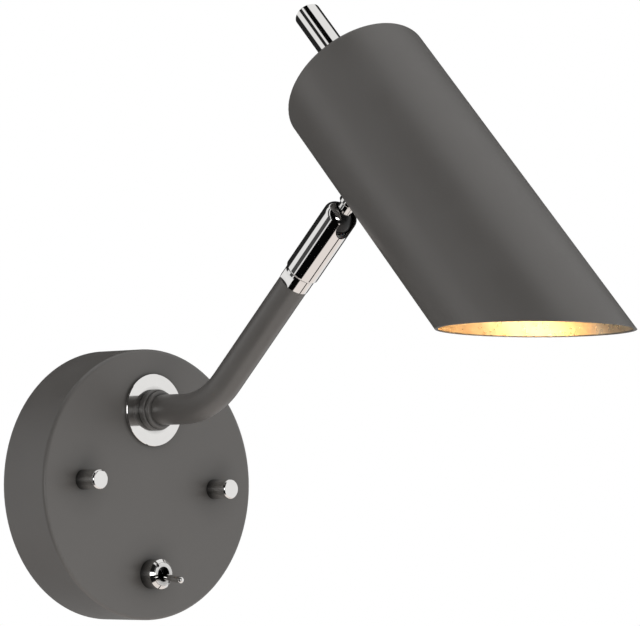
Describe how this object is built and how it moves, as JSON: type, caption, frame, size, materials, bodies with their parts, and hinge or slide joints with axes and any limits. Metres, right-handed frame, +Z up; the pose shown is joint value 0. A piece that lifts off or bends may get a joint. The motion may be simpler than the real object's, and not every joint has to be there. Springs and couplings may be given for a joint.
{
  "type": "wall reading lamp",
  "caption": "Bedside wall reading lamp: round wall box with a toggle switch, bent arm, slotted chrome swivel and a long tube shade with a slanted mouth and rear handle.",
  "frame": {"origin": "centre of the round wall box's back, on the wall", "axes": "+Z up; the lamp stands out from the wall along -Y; +X to the right of somebody facing the lamp"},
  "size_m": [0.12, 0.3092, 0.2656],
  "materials": {
    "powder_grey": "matte dark-grey powder coat",
    "shade_coat": "matte dark-grey powder coat outside, satin gold lacquer inside",
    "polished_chrome": "polished",
    "zinc_steel": "zinc plated",
    "spring_steel": "phosphated",
    "plain_brass": "turned",
    "white_nylon": "moulded, natural white",
    "switch_red": "moulded phenolic",
    "white_ceramic": "unglazed ceramic",
    "silvered_glass": "pressed glass, silvered inside",
    "clear_glass": "clear pressed glass",
    "frosted_glass": "frosted, glowing when lit",
    "wire_cover": "heat-proof sleeving"
  },
  "bodies": {
    "base": {"wall_cover": "powder_grey", "mounting_bracket": "zinc_steel", "cover_studs": "zinc_steel", "cap_nuts": "polished_chrome", "terminal_block": "white_nylon", "terminal_screws": "zinc_steel", "block_screw": "zinc_steel", "earth_screw": "zinc_steel", "earth_washer": "zinc_steel", "earth_tag": "zinc_steel", "switch_bushing": "zinc_steel", "switch_body": "switch_red", "switch_terminals": "plain_brass", "switch_inner_nut": "zinc_steel", "switch_dress_nut": "polished_chrome", "rosette": "polished_chrome", "arm_bush": "white_nylon", "arm_stop_pin": "zinc_steel", "base_leads": "wire_cover"},
    "arm": {"arm_nipple": "zinc_steel", "arm_spring_washer": "spring_steel", "arm_stop_washer": "zinc_steel", "arm_lock_nut": "zinc_steel", "arm_collar": "powder_grey", "tube_bush": "plain_brass", "arm_tube": "powder_grey", "knuckle_collar": "polished_chrome", "swivel_bolt": "zinc_steel", "arm_leads": "wire_cover"},
    "knuckle": {"knuckle_body": "polished_chrome", "knuckle_plug": "plain_brass", "swivel_stop_peg": "zinc_steel", "swivel_washer": "white_nylon", "disc_springs": "spring_steel", "ball_seat": "white_nylon", "knuckle_leads": "wire_cover"},
    "head": {"ball_stem": "polished_chrome", "stem_flange": "polished_chrome", "shade": "shade_coat", "rear_knob": "polished_chrome", "knob_screw": "zinc_steel", "holder_bracket": "zinc_steel", "stem_nut": "zinc_steel", "lampholder": "white_ceramic", "holder_contacts": "plain_brass", "holder_screws": "zinc_steel", "lamp_base": "white_ceramic", "lamp_pins": "plain_brass", "lamp_reflector": "silvered_glass", "lamp_burner": "frosted_glass", "lamp_lens": "clear_glass", "head_leads": "wire_cover"},
    "toggle": {"toggle_lever": "polished_chrome"},
    "rocker": {"switch_rocker": "plain_brass"}
  },
  "joints": [
    {"name": "arm_swivel", "type": "hinge", "parent": "base", "child": "arm", "pos_m": [0, -0.028, 0.033], "axis": [0, -1, 0], "range_deg": [-160, 160]},
    {"name": "head_swivel", "type": "hinge", "parent": "arm", "child": "knuckle", "pos_m": [0, -0.12278, 0.08978], "axis": [0, -0.7071, 0.7071], "range_deg": [-80, 80]},
    {"name": "head_tilt", "type": "hinge", "parent": "knuckle", "child": "head", "pos_m": [0, -0.14414, 0.11113], "axis": [1, 0, 0], "range_deg": [0, 90]},
    {"name": "toggle_flip", "type": "hinge", "parent": "base", "child": "toggle", "pos_m": [0.0031, -0.0275, -0.0395], "axis": [-1, 0, 0], "range_deg": [0, 14]},
    {"name": "rocker_tip", "type": "hinge", "parent": "base", "child": "rocker", "pos_m": [0.0031, -0.01605, -0.0395], "axis": [-1, 0, 0], "range_deg": [-18.2, 0]}
  ],
  "couplings": [
    {"joint": "rocker_tip", "follows": "toggle_flip", "ratio": -1.2857}
  ]
}
